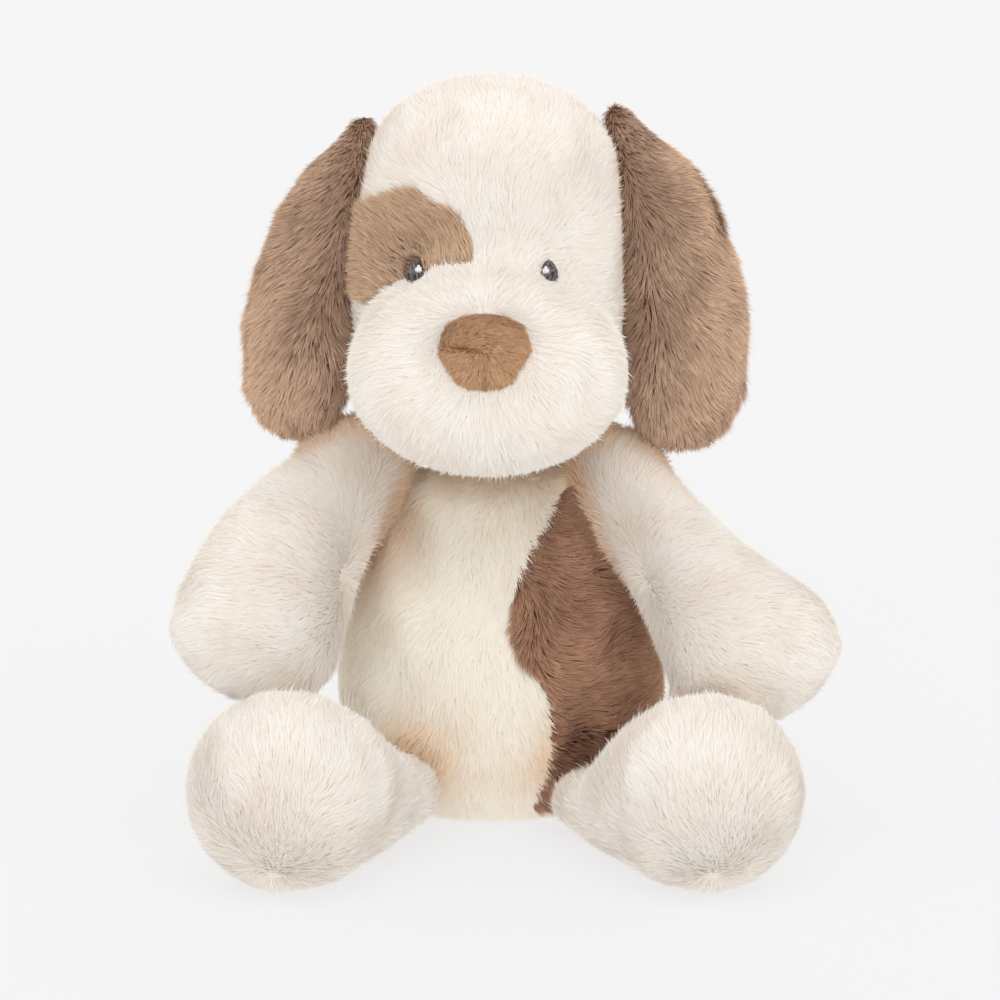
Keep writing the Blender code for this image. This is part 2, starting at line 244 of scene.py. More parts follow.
def panel_distances(points, panels):
    """How far each point is from each panel, one column a panel."""
    return np.stack([distances(points, [panel]) for panel in panels], axis=1)


def puff(mesh, held):
    """Swells a closed mesh by cloth pressure, with the held points pinned, up to PUFF_CAP."""
    rest = points_of(mesh)
    made = put("puffing", mesh)
    group = made.vertex_groups.new(name="seams")
    for index in np.flatnonzero(held):
        group.add([int(index)], 1.0, "REPLACE")
    cloth = made.modifiers.new("cloth", "CLOTH")
    cloth.settings.quality = 6
    cloth.settings.use_pressure = True
    cloth.settings.uniform_pressure_force = PRESSURE
    cloth.settings.effector_weights.gravity = 0.0
    cloth.settings.vertex_group_mass = "seams"
    cloth.point_cache.frame_start = 1
    cloth.point_cache.frame_end = PUFF_FRAMES
    scene = bpy.context.scene
    for step in range(1, PUFF_FRAMES + 1):
        scene.frame_set(step)
    graph = bpy.context.evaluated_depsgraph_get()
    swollen = points_of(made.evaluated_get(graph).data)
    moved = swollen - rest
    size = np.linalg.norm(moved, axis=1, keepdims=True)
    moved *= np.minimum(1.0, PUFF_CAP / np.maximum(size, 1e-9))
    scene.frame_set(1)
    made.modifiers.clear()
    move_points(mesh, rest + moved)
    bpy.data.objects.remove(made)


def subdivided(name, mesh):
    made = put(name, mesh)
    finer = made.modifiers.new("finer", "SUBSURF")
    finer.levels = 1
    finer.render_levels = 1
    return evaluated(made)


def thigh_pressed(body, points):
    """The points with the root of a leg pressed down; other bodies' points stay as they are."""
    if body not in THIGH_PRESS:
        return points
    from_root = np.linalg.norm(points[:, :2] - root_of(body)[:2], axis=1)
    pressed = points.copy()
    pressed[:, 2] *= 1 - THIGH_PRESS[body] * (1 - ramp(from_root, *THIGH_REACH))
    return pressed


def above_floor(points):
    """The points of a form, raised where the skin would be on or below the floor."""
    raised = points.copy()
    raised[:, 2] = np.maximum(raised[:, 2], FLOOR_GAP + SKIN_WALL)
    return raised


class Surface:
    """A closed mesh, with its points, normals and triangles as arrays."""

    def __init__(self, mesh):
        self.mesh = mesh
        mesh.calc_loop_triangles()
        self.points = points_of(mesh)
        self.normals = normals_of(mesh)
        corners = np.zeros(len(mesh.loop_triangles) * 3, dtype=int)
        mesh.loop_triangles.foreach_get("vertices", corners)
        self.triangles = corners.reshape(-1, 3)

    def front(self, x, z):
        """The y of the foremost point at x and z."""
        tree = BVHTree.FromPolygons(self.points.tolist(), self.triangles.tolist())
        return tree.ray_cast(Vector((x, -1.0, z)), Vector((0, 1, 0)))[0].y

    def scattered(self, density):
        """Points spread over the surface at random: their triangles' corners, and shares of those."""
        a, b, c = (self.points[self.triangles[:, k]] for k in range(3))
        areas = np.linalg.norm(np.cross(b - a, c - a), axis=1) / 2
        count = int(areas.sum() * density)
        pick = rng.choice(len(areas), size=count, p=areas / areas.sum())
        one, two = rng.random(count), rng.random(count)
        over = one + two > 1
        one[over], two[over] = 1 - one[over], 1 - two[over]
        return self.triangles[pick], np.stack([1 - one - two, one, two], axis=1)[:, :, None]


class Form(Surface):
    """A body's closed skin surface, and how far its points are from its panels and other bodies.

    gap is to any other body, and sewn_gap leaves out the limbs that a limb only touches.
    """

    def __init__(self, body):
        self.body = body
        self.panels = panels_of(body)
        voxel, inset = (THIN_VOXEL, THIN_INSET) if is_thin(body) else (FORM_VOXEL, INSET)
        mesh = closed_form(f"{body}_form", BODIES[body], voxel, inset)
        if body == "head":
            fill_creases(mesh, 5, 0.8)
        reach = np.sort(panel_distances(points_of(mesh), self.panels), axis=1)
        puff(mesh, reach[:, 1] - reach[:, 0] < SEAM_REACH)
        mesh = subdivided(f"{body}_form", mesh)
        relax(mesh, 2)
        points = above_floor(thigh_pressed(body, points_of(mesh)))
        others = [other for other in BODIES if other != body]
        sewn_to = [other for other in others if body not in LIMBS or other not in LIMBS]
        self.gap = distances(points, [panel for other in others for panel in panels_of(other)])
        self.sewn_gap = distances(points, [panel for other in sewn_to for panel in panels_of(other)])
        if body != "head" and not is_thin(body):
            swell = np.minimum(JOINT_SHARE * self.gap, JOINT_SWELL) * (1 - ramp(self.gap, *JOINT_REACH))
            points = above_floor(points + swell[:, None] * normals_of(mesh))
        move_points(mesh, points)
        super().__init__(mesh)
        self.reach = panel_distances(self.points, self.panels)


# ---------------------------------------------------------------- materials

def srgb(red, green, blue):
    """Linear colour from the 0 to 255 values of a screen colour."""
    return tuple(((c / 255 + 0.055) / 1.055) ** 2.4 if c > 10 else c / 3295 for c in (red, green, blue))


class Nodes:
    """A new material's node tree, with short ways to add and link nodes."""

    def __init__(self, name, roughness=0.9, specular=0.2):
        self.material = bpy.data.materials.new(name)
        self.material.use_nodes = True
        self.tree = self.material.node_tree
        self.shader = self.tree.nodes["Principled BSDF"]
        self.shader.inputs["Roughness"].default_value = roughness
        self.shader.inputs["Specular IOR Level"].default_value = specular

    def add(self, kind, **settings):
        node = self.tree.nodes.new(kind)
        for name, value in settings.items():
            setattr(node, name, value)
        return node

    def link(self, start, end):
        self.tree.links.new(start, end)

    def ramp(self, factor, stops):
        node = self.add("ShaderNodeValToRGB")
        while len(node.color_ramp.elements) < len(stops):
            node.color_ramp.elements.new(0.5)
        for element, (place, colour) in zip(node.color_ramp.elements, stops):
            element.position = place
            element.color = (*colour, 1.0)
        self.link(factor, node.inputs["Fac"])
        return node.outputs["Color"]

    def mix(self, factor, first, second):
        node = self.add("ShaderNodeMix", data_type="RGBA")
        self.link(factor, node.inputs[0])
        self.link(first, node.inputs[6])
        self.link(second, node.inputs[7])
        return node.outputs[2]


# For the white and cream plush the darker hairs are painted crease shade; for the browns they are the fur's own
# darker tone and painted crease shade. Each set's darker root is painted shade deep in the pile.
PILE_COLOURS = {          # each: root, middle and tip, of the darker hairs and of the lighter hairs
    "white_plush": ((212, 164, 116), (222, 182, 138), (229, 196, 157),
                    (238, 229, 216), (241, 235, 227), (246, 242, 236)),
    "cream_plush": ((220, 168, 114), (230, 188, 138), (237, 202, 156),
                    (245, 236, 218), (250, 243, 230), (252, 248, 239)),
    "brown_plush": ((92, 64, 49), (159, 124, 103), (193, 160, 134),
                    (134, 99, 77), (208, 174, 147), (240, 208, 176)),
    "dark_brown_plush": ((68, 44, 32), (144, 104, 83), (182, 139, 112),
                         (106, 73, 55), (189, 143, 116), (222, 177, 143)),
    "eye_patch_plush": ((114, 83, 64), (176, 143, 119), (208, 175, 147),
                        (146, 114, 91), (212, 179, 150), (243, 212, 172)),
    "nose_plush": ((112, 76, 50), (166, 122, 89), (194, 149, 113),
                   (144, 104, 74), (202, 159, 121), (233, 194, 153)),
}


def pile_material(slot):
    """Hair colour from its UV map alone: U is the hair's own tint, and V runs from root to tip, where the darker
    root is painted shade deep in the pile.
    """
    colours = [srgb(*colour) for colour in PILE_COLOURS[slot]]
    nodes = Nodes(f"{slot}_pile", roughness=0.85, specular=0.15)
    place = nodes.add("ShaderNodeUVMap", uv_map="OFBake")
    parts = nodes.add("ShaderNodeSeparateXYZ")
    nodes.link(place.outputs["UV"], parts.inputs[0])
    stops = (0.0, 0.45, 1.0)
    darker = nodes.ramp(parts.outputs["Y"], list(zip(stops, colours[:3])))
    lighter = nodes.ramp(parts.outputs["Y"], list(zip(stops, colours[3:])))
    nodes.link(nodes.mix(parts.outputs["X"], darker, lighter), nodes.shader.inputs["Base Color"])
    nodes.shader.inputs["Sheen Weight"].default_value = 0.15
    nodes.shader.inputs["Sheen Roughness"].default_value = 0.6
    nodes.shader.inputs["Sheen Tint"].default_value = (*colours[5], 1.0)
    return nodes.material


def backing_material(slot):
    """The knitted backing under the pile, in the colour of the pile's roots or lighter."""
    colours = [srgb(*colour) for colour in PILE_COLOURS[slot]]
    nodes = Nodes(f"{slot}_backing", roughness=0.95)
    place = nodes.add("ShaderNodeTexCoord")
    rows = nodes.add("ShaderNodeTexWave", bands_direction="Z", wave_profile="SIN")
    rows.inputs["Scale"].default_value = 260.0
    rows.inputs["Distortion"].default_value = 2.0
    nodes.link(place.outputs["Object"], rows.inputs["Vector"])
    # The backing takes the roots' colours, and with them their painted shade.
    dark, light = (colours[3], colours[4]) if slot in PALE else (colours[0], colours[3])
    colour = nodes.ramp(rows.outputs["Fac"], [(0.2, dark), (0.9, light)])
    nodes.link(colour, nodes.shader.inputs["Base Color"])
    bump = nodes.add("ShaderNodeBump")
    bump.inputs["Distance"].default_value = 0.0003
    nodes.link(rows.outputs["Fac"], bump.inputs["Height"])
    nodes.link(bump.outputs["Normal"], nodes.shader.inputs["Normal"])
    return nodes.material


def fibre_material(name, dark, light, scale, roughness=0.9, upright=1.0):
    """Tangled or woven fibre: noise between two colours, with a fine bump. upright stretches it."""
    nodes = Nodes(name, roughness=roughness)
    place = nodes.add("ShaderNodeTexCoord")
    stretch = nodes.add("ShaderNodeMapping")
    stretch.inputs["Scale"].default_value = (1.0, 1.0, 1.0 / upright)
    noise = nodes.add("ShaderNodeTexNoise")
    noise.inputs["Scale"].default_value = scale
    noise.inputs["Detail"].default_value = 5.0
    nodes.link(place.outputs["Object"], stretch.inputs["Vector"])
    nodes.link(stretch.outputs["Vector"], noise.inputs["Vector"])
    colour = nodes.ramp(noise.outputs["Fac"], [(0.38, srgb(*dark)), (0.62, srgb(*light))])
    nodes.link(colour, nodes.shader.inputs["Base Color"])
    bump = nodes.add("ShaderNodeBump")
    bump.inputs["Distance"].default_value = 0.0004
    nodes.link(noise.outputs["Fac"], bump.inputs["Height"])
    nodes.link(bump.outputs["Normal"], nodes.shader.inputs["Normal"])
    return nodes.material


# ---------------------------------------------------------------- pile

def waves(points, size, seed):
    """Smooth noise, about -1 to 1, with bumps of the given size. Each seed is another pattern."""
    local = np.random.default_rng(seed)
    total = np.zeros(len(points))
    for _ in range(7):
        direction = unit(local.normal(size=3)) * 2 * math.pi / (size * local.uniform(0.7, 1.6))
        total += np.sin(points @ direction + local.uniform(0, 2 * math.pi))
    return total / 3.0


def turned(vectors, axes, angles):
    """Each vector, which is square to its axis, turned round it by its angle."""
    return vectors * np.cos(angles)[:, None] + np.cross(axes, vectors) * np.sin(angles)[:, None]


def nearest(points, centres):
    """For each point, the number of the nearest centre."""
    tree = KDTree(len(centres))
    for number, place in enumerate(centres):
        tree.insert(place, number)
    tree.balance()
    return np.array([tree.find(point)[1] for point in points])


def hairs(name, roots, normals, comb, length, tint, look, lift=0.0):
    """One mesh of flat tapered hairs: five points and two faces each.

    comb is the way the nap runs at each root, length and tint each hair's own, and lift how much
    more upright than its look each hair stands, in radians.
    """
    count = len(roots)
    along = unit(comb - normals * (comb * normals).sum(axis=1, keepdims=True))
    swirl = look.curl * waves(roots, SWIRL_SIZE, 1) + TURN_NOISE * rng.normal(size=count)
    along = turned(along, normals, swirl)
    stray = rng.random(count) < look.strays
    over = (look.lean - lift - STRAY_LEAN * stray + LEAN_NOISE * rng.normal(size=count))[:, None]
    half = (length * np.clip(1 + LENGTH_NOISE * rng.normal(size=count), 0.55, 1.3))[:, None] / 2
    middles = roots + half * (normals * np.cos(over) + along * np.sin(over))
    tips = middles + half * (normals * np.cos(over + BEND) + along * np.sin(over + BEND))
    leaders = rng.choice(count, size=max(1, count // look.tuft), replace=False)
    leader = leaders[nearest(roots, roots[leaders])]
    pull = look.pull * ((0.4 + 0.6 * rng.random(count)) * ~stray)[:, None]
    drawn = roots[leader] + (tips[leader] - roots[leader])
    tips = tips + pull * (drawn - tips)
    middles = middles + 0.35 * pull * (middles[leader] - middles)
    across = unit(np.cross(tips - roots, normals)) * look.width / 2
    roots = roots - ROOT_DEPTH * normals
    corners = np.stack([roots - across, roots + across, middles + 0.85 * across,
                        middles - 0.85 * across, tips], axis=1)
    corners[:, :, 2] = np.maximum(corners[:, :, 2], FLOOR_GAP)
    own = look.contrast * (rng.normal(size=count) + 0.8 * waves(roots[leader], TUFT_SHADE_SIZE, 5))
    shade = np.clip(tint + own, 0, 1)
    faces = np.array([0, 1, 2, 3, 3, 2, 4])
    loops = (faces[None, :] + 5 * np.arange(count)[:, None]).ravel()
    starts = (np.array([0, 4])[None, :] + 7 * np.arange(count)[:, None]).ravel()
    mesh = bpy.data.meshes.new(name)
    mesh.vertices.add(5 * count)
    mesh.vertices.foreach_set("co", corners.reshape(-1))
    mesh.loops.add(7 * count)
    mesh.loops.foreach_set("vertex_index", loops)
    mesh.polygons.add(2 * count)
    mesh.polygons.foreach_set("loop_start", starts)
    mesh.update(calc_edges=True)
    mesh.validate()
    mesh.shade_smooth()
    heights = np.array([0.0, 0.0, 0.5, 0.5, 1.0])[faces]
    uv = np.stack([np.repeat(shade, 7), np.tile(heights, count)], axis=1)
    mesh.uv_layers.new(name="OFBake").data.foreach_set("uv", uv.ravel())
    return put(name, mesh)


# ---------------------------------------------------------------- the nap of each body

NOSE = np.array(centre("nose"))
EYES = [np.array(centre(f"eye_{side}_thread")) for side in ("left", "right")]
NAP_DEPTH = 0.012         # of the point behind the nose that the head's nap runs away from
BACK_PULL = 1.6           # how strongly it runs down at the back


def head_nap(points):
    """From the nose outwards in every direction, and down the back of the head."""
    away = unit(points - (NOSE + NAP_DEPTH * BACK))
    low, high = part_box("head_back_left_panel")
    behind = ramp(points[:, 1], low.y - 0.01, high.y)
    return away + BACK_PULL * behind[:, None] * DOWN


def torso_nap(points):
    """Down the belly and back, and outwards on the dark patch."""
    low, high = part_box("torso_patch_panel")
    blend = 0.02
    patch = ramp(points[:, 0], low.x, low.x + blend) * ramp(-points[:, 1], -high.y, -high.y + blend)
    patch = patch[:, None]
    half_width = 0.05
    sideways = (points[:, :1] - centre("torso_base_panel").x) / half_width
    return (1 - patch) * (DOWN + 0.5 * sideways * OUT) + patch * (OUT - 0.25 * DOWN)


def ear_nap(side):
    """Away from a line down the ear, nearer its inner edge, and more and more downwards."""
    outward = OUT if side == "left" else -OUT
    low, high = panel_box(f"ear_{side}")
    root = root_of(f"ear_{side}")
    inner, outer = (low[0], high[0]) if side == "left" else (high[0], low[0])
    parting = inner + 0.42 * (outer - inner)

    def nap(points):
        below_root = ramp(root[2] - points[:, 2], 0.0, 0.06)
        line = root[0] + (parting - root[0]) * below_root
        beyond = (points[:, 0] - line) * outward[0]
        sideways = np.clip(0.15 + beyond / 0.020, -0.35, 1.0)[:, None]
        lower = ramp(low[2] + 0.045 - points[:, 2], 0.0, 0.030)[:, None]
        return outward * sideways * (1.1 - 0.6 * lower) + DOWN * (0.5 + lower) + 0.1 * BACK
    return nap


def limb_nap(body):
    """From the root of a limb to its end."""
    root = root_of(body)
    low, high = panel_box(body)
    end = np.where(np.abs(low - root) > np.abs(high - root), low, high)
    return lambda points: np.tile(unit(end - root), (len(points), 1))


def foot_nap(body):
    """Away from a point low in the foot's tip, so up over the foot and back along the leg."""
    low, high = panel_box(body)
    outside_middle = 0.6 * (low[0] + high[0])
    under_tip = np.array([outside_middle, low[1] + 0.006, low[2] + 0.004])
    return lambda points: unit(points - under_tip)


def arm_nap(side):
    """Away from a point beside the arm's inner side, so outwards over the arm, and a little down."""
    low, high = panel_box(f"arm_{side}")
    outer, inward = (high[0], -1.0) if side == "left" else (low[0], 1.0)
    halfway = 0.5 * root_of(f"arm_{side}") + 0.5 * np.array([outer, low[1], low[2]])
    source = halfway + 0.060 * np.array([0.92 * inward, -0.38, 0.1])
    return lambda points: unit(points - source) + 0.15 * DOWN


def make_naps():
    naps = {"head": head_nap, "torso": torso_nap, "tail": limb_nap("tail")}
    for side in ("left", "right"):
        naps[f"ear_{side}"] = ear_nap(side)
        naps[f"arm_{side}"] = arm_nap(side)
        naps[f"leg_{side}"] = foot_nap(f"leg_{side}")
    return naps


EYE_OVAL = (1.15, 0.3, 0.9)         # makes distances from an eye follow its upright oval
EYE_TRIM = (0.0038, 0.0090)         # from an eye: where the pile starts, and where it is whole
NOSE_HALF = (0.0150, 0.0150, 0.0120)
NOSE_TRIM = (0.86, 1.20)            # the same from the nose's middle, in shares of its half sizes
EAR_TRIM = (0.006, 0.026)           # from an ear's root: where the pile is shortest and whole


def trimmed(gap, reach, shortest):
    """The length of pile as a share: none below the reach, shortest at its start and 1 at its end."""
    return np.where(gap < reach[0], 0.0, shortest + (1 - shortest) * ramp(gap, *reach))


def face_trim(points):
    """How long the head's pile is at each point: short round the eyes and nose, none under them."""
    trim = np.ones(len(points))
    for eye in EYES:
        trim *= trimmed(np.linalg.norm((points - eye) * EYE_OVAL, axis=1), EYE_TRIM, 0.40)
    return trim * trimmed(np.linalg.norm((points - NOSE) / NOSE_HALF, axis=1), NOSE_TRIM, 0.50)


def ear_trim(ear, points):
    """How long an ear's pile is at each point: short at the root, where it is pinched into its seam."""
    return 0.4 + 0.6 * ramp(np.linalg.norm(points - root_of(ear), axis=1), *EAR_TRIM)


# density is hairs per square metre, length a share of PILE, tuft the hairs that draw together, and
# pull how far they do. shade is the mean tint, and strays the share of hairs that stand up.
Look = namedtuple("Look", "density width length lean tuft pull curl contrast shade strays")
LOOKS = {
    "white_plush": Look(4.6e6, 0.00031, 0.88, 1.22, 10, 0.05, 0.42, 0.05, 0.93, 0.02),
    "cream_plush": Look(4.6e6, 0.00031, 0.88, 1.20, 10, 0.07, 0.45, 0.06, 0.96, 0.02),
    "brown_plush": Look(4.5e6, 0.00028, 1.0, 0.98, 14, 0.32, 0.48, 0.24, 0.46, 0.03),
    "dark_brown_plush": Look(4.5e6, 0.00028, 1.0, 0.98, 14, 0.34, 0.50, 0.24, 0.48, 0.03),
    "eye_patch_plush": Look(4.5e6, 0.00026, 1.0, 0.98, 12, 0.30, 0.34, 0.22, 0.48, 0.03),
    "nose_plush": Look(12.0e6, 0.00020, 0.40, 1.20, 9, 0.20, 0.20, 0.20, 0.45, 0.0),
}


# How far each goes towards the darker hairs: patches of the tint, and painted shade in creases and in the hollows
# round them.
Shade = namedtuple("Shade", "patchy crease hollow")
SHADES = {
    "white_plush": Shade(0.045, 0.85, 0.22),
    "cream_plush": Shade(0.045, 0.5525, 0.11),
    "brown_plush": Shade(0.24, 0.50, 0.10),
    "dark_brown_plush": Shade(0.24, 0.50, 0.10),
    "eye_patch_plush": Shade(0.24, 0.50, 0.10),
}
HEAD_CREASE_SHADE = 0.4         # the head's painted crease shade as a share of those, and it has no painted hollow shade


def tints(form, slot, roots, normals, gap, sewn_gap):
    """How light each hair is, 0 to 1: patchy, with painted shade in creases and the hollows round them, lighter
    low on an ear, and painted light at an ear's outward-facing rim.
    """
    patchy, crease_shade, hollow_shade = SHADES[slot]
    tint = LOOKS[slot].shade + patchy * (waves(roots, 0.022, 3) + 0.5 * waves(roots, 0.006, 4))
    if form.body.startswith("ear"):
        low = form.points[:, 2].min()
        tint += 0.32 * ramp(low + 0.055 - roots[:, 2], 0.0, 0.040) - 0.06
        # Painted light: hairs facing outwards at the ear's rim are lighter, as if lit there.
        tint += 0.35 * ramp(np.sign(roots[:, 0]) * normals[:, 0], 0.2, 0.9)
    if form.body == "head":
        crease_shade, hollow_shade = HEAD_CREASE_SHADE * crease_shade, 0.0
    # Painted shade: near another body the hairs go towards the darker ones, strongly in the crease and faintly in
    # the hollow round it.
    crease_shade_depth = 0.35 * (1 - ramp(gap, *CREASE_SHADE_REACH)) + 0.65 * (1 - ramp(sewn_gap, *CREASE_SHADE_REACH))
    return tint - crease_shade * crease_shade_depth - hollow_shade * (1 - ramp(sewn_gap, *HOLLOW_SHADE_REACH))


def grow_pile(form, nap):
    """A pile for each panel of a form."""
    dense = max(LOOKS[SLOTS[panel]].density for panel in form.panels)
    corners, shares = form.scattered(dense)
    points = (form.points[corners] * shares).sum(axis=1)
    normals = unit((form.normals[corners] * shares).sum(axis=1))
    owner = (form.reach[corners] * shares).sum(axis=1).argmin(axis=1)
    gap = (form.gap[corners] * shares[:, :, 0]).sum(axis=1)
    sewn_gap = (form.sewn_gap[corners] * shares[:, :, 0]).sum(axis=1)
    trim = np.ones(len(points))
    lift = np.zeros(len(points))
    if SLOTS[form.panels[0]] in PALE and form.body != "head":
        lift = JOINT_LIFT * (1 - ramp(gap, *JOINT_REACH))
    if form.body == "head":
        trim = face_trim(points)
    elif form.body.startswith("ear"):
        trim = ear_trim(form.body, points)
    chance = rng.random(len(points))
    for number, panel in enumerate(form.panels):
        slot = SLOTS[panel]
        look = LOOKS[slot]
        mine = np.flatnonzero((owner == number) & (trim > 0) & (chance < look.density / dense))
        mine = mine[np.argsort(points[mine, 2], kind="stable")]
        batches = np.array_split(mine, math.ceil(len(mine) / MAX_HAIRS))
        for batch, chosen in enumerate(batches, start=1):
            roots = points[chosen]
            tint = tints(form, slot, roots, normals[chosen], gap[chosen], sewn_gap[chosen])
            pile = hairs(f"{panel}_pile_{batch}", roots, normals[chosen], nap(roots),
                         PILE * look.length * trim[chosen], tint, look, lift[chosen])
            pile.data.materials.append(piles[slot])
            pile.visible_shadow = slot not in PALE
            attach(pile, form.body)
            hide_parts(panel)


def cut_skins(form):
    """A skin for each panel of a form, with the thickness of the backing."""
    faces = [face.vertices[:] for face in form.mesh.polygons]
    owner = np.array([form.reach[list(face)].mean(axis=0).argmin() for face in faces])
    for number, panel in enumerate(form.panels):
        mine = [faces[index] for index in np.flatnonzero(owner == number)]
        used = sorted({corner for face in mine for corner in face})
        place = {old: new for new, old in enumerate(used)}
        mesh = bpy.data.meshes.new(f"{panel}_skin")
        mesh.from_pydata(form.points[used].tolist(), [], [[place[c] for c in face] for face in mine])
        mesh.shade_smooth()
        skin = put(f"{panel}_skin", mesh)
        wall = skin.modifiers.new("backing", "SOLIDIFY")
        wall.thickness = SKIN_WALL
        wall.offset = -1.0
        slot = SLOTS[panel]
        mesh.materials.append(backings[slot])
        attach(skin, form.body)
        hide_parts(panel)


def fill_body(body):
    """The stuffing, wadding and pellet bag of a body, a little smaller than in the frame."""
    for node in BODIES[body]:
        if not node.endswith(("stuffing", "wadding", "pellet_bag")):
            continue
        mesh = closed_form(f"{node}_fill", [node], STUFFING_VOXEL, STUFFING_INSET)
        move_points(mesh, thigh_pressed(body, points_of(mesh)))
        mesh.shade_smooth()
        fill = put(f"{node}_fill", mesh)
        fill.data.materials.append(calico if node == "pellet_bag" else wadding)
        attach(fill, body)
        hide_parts(node)


# ---------------------------------------------------------------- the face

EYE_HALF = Vector((0.0030, 0.0036, 0.0038))
EYE_NARROWING = 0.35      # how much narrower the top of an eye's pad is
EYE_STAND = 0.0030        # how far its pad's front is before the skin
SATIN_DEPTH = 0.0016      # how far its stitches' ends are behind the pad's front
SPOT_STAND = 0.0003       # how far the highlight's are before it

# A drop of satin stitches: its half width and height, how far it bows forwards, and its strands.
Satin = namedtuple("Satin", "half rise strands radius")
EYE_SATIN = Satin((0.0032, 0.0040), 0.0022, 9, 0.00040)
SPOT_SATIN = Satin((0.0011, 0.0015), 0.0009, 4, 0.00036)

NOSE_VOXEL = 0.0010
NOSE_INSET = 0.0004
NOSE_STAND = 0.001        # how far the nose is drawn out of the muzzle


def dome(name, half, rings=10, sides=28):
    """The front half of a ball with its own half sizes, facing -Y, closed at the back."""
    bm = bmesh.new()
    bmesh.ops.create_uvsphere(bm, u_segments=sides, v_segments=2 * rings, radius=1.0)
    bmesh.ops.bisect_plane(bm, geom=bm.verts[:] + bm.edges[:] + bm.faces[:], plane_co=(0, 0, 0),
                           plane_no=(0, 1, 0), clear_outer=True)
    bmesh.ops.holes_fill(bm, edges=bm.edges[:], sides=0)
    bmesh.ops.scale(bm, vec=half, verts=bm.verts)
    mesh = bpy.data.meshes.new(name)
    bm.to_mesh(mesh)
    bm.free()
    return mesh


def stitch_strand(bm, start, end, rise, radius, sides=6, steps=8):
    """A strand of thread from start to end, bowed forwards by rise."""
    rings = []
    for step in range(steps + 1):
        share = step / steps
        bow = math.sin(math.pi * share)
        middle = start.lerp(end, share) + Vector((0, -rise * bow, 0))
        size = radius * (0.55 + 0.45 * bow)
        ring = [bm.verts.new(middle + Vector((size * math.cos(a), size * math.sin(a), 0)))
                for a in (2 * math.pi * k / sides for k in range(sides))]
        rings.append(ring)
    for lower, upper in zip(rings, rings[1:]):
        for k in range(sides):
            bm.faces.new((lower[k], lower[(k + 1) % sides], upper[(k + 1) % sides], upper[k]))
    bm.faces.new(rings[0][::-1])
    bm.faces.new(rings[-1])


def satin_drop(name, place, satin):
    """A drop, rounder below than above, filled with upright satin stitches side by side."""
    bm = bmesh.new()
    half = satin.half
    for number in range(satin.strands):
        x = -1 + 2 * (number + 0.5) / satin.strands
        uneven = 1 + 0.06 * math.sin(5.1 * number)
        below = math.sqrt(max(0.0, 1 - x * x)) * uneven
        above = (1 - abs(x) ** 1.8) * uneven
        wander = 0.06 * math.sin(3.7 * number)
        foot = Vector(place) + Vector(((x + wander) * half[0], 0, -below * half[1]))
        head = Vector(place) + Vector(((x - wander) * 0.8 * half[0], 0, above * half[1]))
        stitch_strand(bm, foot, head, satin.rise * (0.55 + 0.45 * below), satin.radius)
    bmesh.ops.recalc_face_normals(bm, faces=bm.faces)
    mesh = bpy.data.meshes.new(name)
    bm.to_mesh(mesh)
    bm.free()
    mesh.shade_smooth()
    return mesh


def dress(made, node, look):
    """Gives a piece of the head its material and body, and hides the CAD node it stands for."""
    made.data.materials.append(look)
    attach(made, "head")
    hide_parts(node)


def make_eye(side, face):
    """A dark pad with satin stitches over it, and a few white stitches for the highlight."""
    node = f"eye_{side}_thread"
    middle = centre(node)
    front = face.front(middle.x, middle.z) - EYE_STAND
    pad = put(f"{node}_pad", dome(f"{node}_pad", EYE_HALF))
    for vertex in pad.data.vertices:
        vertex.co.x *= 1 - EYE_NARROWING * max(0.0, vertex.co.z / EYE_HALF.z)
    pad.data.shade_smooth()
    pad.location = (middle.x, front + EYE_HALF.y, middle.z)
    dress(pad, node, grey_thread)
    behind = (middle.x, front + SATIN_DEPTH, middle.z)
    stitches = satin_drop(f"{node}_stitches", behind, EYE_SATIN)
    dress(put(f"{node}_stitches", stitches), node, grey_thread)
    spot = f"eye_{side}_highlight"
    before = (centre(spot).x, front - SPOT_STAND, centre(spot).z)
    stitches = satin_drop(f"{spot}_stitches", before, SPOT_SATIN)
    dress(put(f"{spot}_stitches", stitches), spot, white_thread)


def frame_front(node, z):
    """The y of a CAD node's foremost point, just left of its seam, at a height."""
    beside_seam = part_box(node)[0].x + 0.002
    return surface_tree([node]).ray_cast(Vector((beside_seam, -1.0, z)), Vector((0, 1, 0)))[0].y


def nose_nap(points):
    """Sideways over the top of the nose, and away from its middle below."""
    away = (points - NOSE) * (1.0, 0.3, 1.0)
    upper = ramp(away[:, 2], 0.000, 0.003)[:, None]
    sideways = OUT + 60 * away[:, :1] * DOWN
    return upper * sideways + (1 - upper) * unit(away - (0, 0, 0.003))


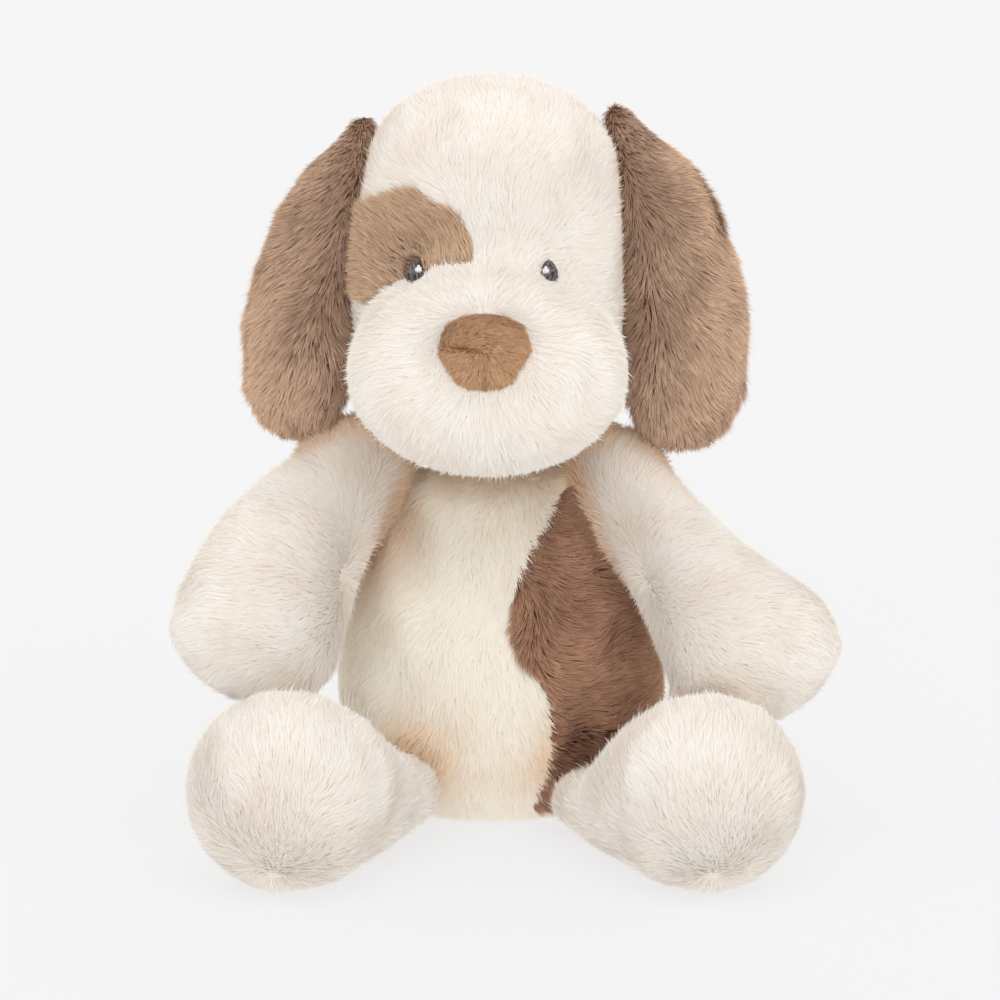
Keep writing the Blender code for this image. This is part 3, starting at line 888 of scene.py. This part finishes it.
def make_nose(face):
    """A padded nose with its own short pile, darker above, and parted below, with painted shade along the parting.
    """
    mesh = closed_form("nose_form", ["nose"], NOSE_VOXEL, NOSE_INSET)
    mesh = subdivided("nose_pad", mesh)
    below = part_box("nose")[0].z - 0.002
    shift = face.front(NOSE[0], below) - frame_front("muzzle_left_panel", below)
    move_points(mesh, points_of(mesh) + (0, shift - NOSE_STAND, 0))
    mesh.shade_smooth()
    pad = put("nose_pad", mesh)
    form = Surface(mesh)
    look = LOOKS["nose_plush"]
    corners, shares = form.scattered(look.density)
    roots = (form.points[corners] * shares).sum(axis=1)
    facing = unit((form.normals[corners] * shares).sum(axis=1))
    forward = facing[:, 1] < 0.25
    roots, facing = roots[forward], facing[forward]
    lower = ramp(NOSE[2] - roots[:, 2], -0.006, 0.004)
    parting = np.exp(-((roots[:, 0] - NOSE[0]) / 0.0006) ** 2) * (roots[:, 2] < NOSE[2] - 0.002)
    # Painted shade: the hairs along the parting below the nose are darker, as shade in the cleft.
    tint = look.shade - 0.12 + 0.30 * lower + 0.12 * waves(roots, 0.004, 9) - 0.6 * parting
    length = np.full(len(roots), PILE * look.length)
    pile = hairs("nose_pile", roots, facing, nose_nap(roots), length, tint, look)
    for made, material in ((pad, backings["nose_plush"]), (pile, piles["nose_plush"])):
        dress(made, "nose", material)


# ---------------------------------------------------------------- the room

SUN_COLOUR = (0.90, 0.98, 1.08)
SUNS = {                  # each: where it comes from, its spread in radians, and its strength
    "key": ((-0.25, -1.2, 0.12), 0.9, 0.98),
    "fill": ((0.9, -1.2, 0.25), 0.9, 0.52),
    "top": ((0.0, -0.5, 1.0), 0.9, 0.60),
    "back": ((0.15, 1.2, 0.5), 1.4, 0.60),
}


def make_floor():
    """A pale matt sheet that is the floor and the background."""
    bm = bmesh.new()
    bmesh.ops.create_grid(bm, x_segments=2, y_segments=2, size=12.0)
    mesh = bpy.data.meshes.new("floor")
    bm.to_mesh(mesh)
    bm.free()
    floor = put("floor", mesh)
    nodes = Nodes("floor_sheet", roughness=0.8, specular=0.0)
    nodes.shader.inputs["Base Color"].default_value = (0.20, 0.20, 0.20, 1.0)
    nodes.shader.inputs["Emission Color"].default_value = (0.707, 0.708, 0.712, 1.0)
    nodes.shader.inputs["Emission Strength"].default_value = 1.0
    floor.data.materials.append(nodes.material)


def aim(made, target):
    made.rotation_euler = (Vector(target) - made.location).to_track_quat("-Z", "Y").to_euler()


def soft_sun(name, place, spread, strength):
    """Even light from a wide patch of the room, spread radians across, in the direction of place."""
    light = bpy.data.lights.new(name, "SUN")
    light.angle = spread
    light.energy = strength
    light.color = SUN_COLOUR
    made = put(name, light)
    made.location = place
    aim(made, (0, 0, 0))


def make_room():
    world = bpy.data.worlds.new("studio")
    bpy.context.scene.world = world
    world.use_nodes = True
    sky = world.node_tree.nodes["Background"].inputs
    sky["Color"].default_value = (1.0, 0.95, 0.89, 1.0)
    sky["Strength"].default_value = 0.78
    for name, (place, spread, strength) in SUNS.items():
        soft_sun(name, place, spread, strength)
    make_floor()
    bpy.context.scene.view_settings.view_transform = "Standard"


def make_camera():
    """A long lens, a little above the dog, straight in front of it."""
    distance = 1.6
    rise = math.radians(11.0)
    width = 1 / 3             # of what the picture shows at the target
    target = Vector((-0.0018, 0.0192, 0.1064))
    lens = bpy.data.cameras.new("camera")
    lens.sensor_width = 36.0
    lens.lens = 36.0 * distance / width
    lens.clip_end = 60.0
    camera = put("camera", lens)
    camera.location = target + distance * Vector((0, -math.cos(rise), math.sin(rise)))
    aim(camera, target)
    bpy.context.scene.camera = camera


piles = {slot: pile_material(slot) for slot in PILE_COLOURS}
backings = {slot: backing_material(slot) for slot in PILE_COLOURS}
wadding = fibre_material("wadding_fibre", (222, 222, 218), (246, 246, 244), 420.0)
calico = fibre_material("calico_weave", (196, 186, 164), (222, 214, 194), 900.0)
grey_thread = fibre_material("thread_grey_fibre", (34, 31, 33), (150, 142, 142), 2600.0,
                             roughness=0.5, upright=12.0)
white_thread = fibre_material("thread_white_fibre", (232, 228, 232), (250, 248, 250), 1800.0,
                              roughness=0.5, upright=6.0)

make_camera()
make_room()
forms = {}
for body, nap in make_naps().items():
    forms[body] = Form(body)
    cut_skins(forms[body])
    grow_pile(forms[body], nap)
    fill_body(body)
make_nose(forms["head"])
for side in ("left", "right"):
    make_eye(side, forms["head"])
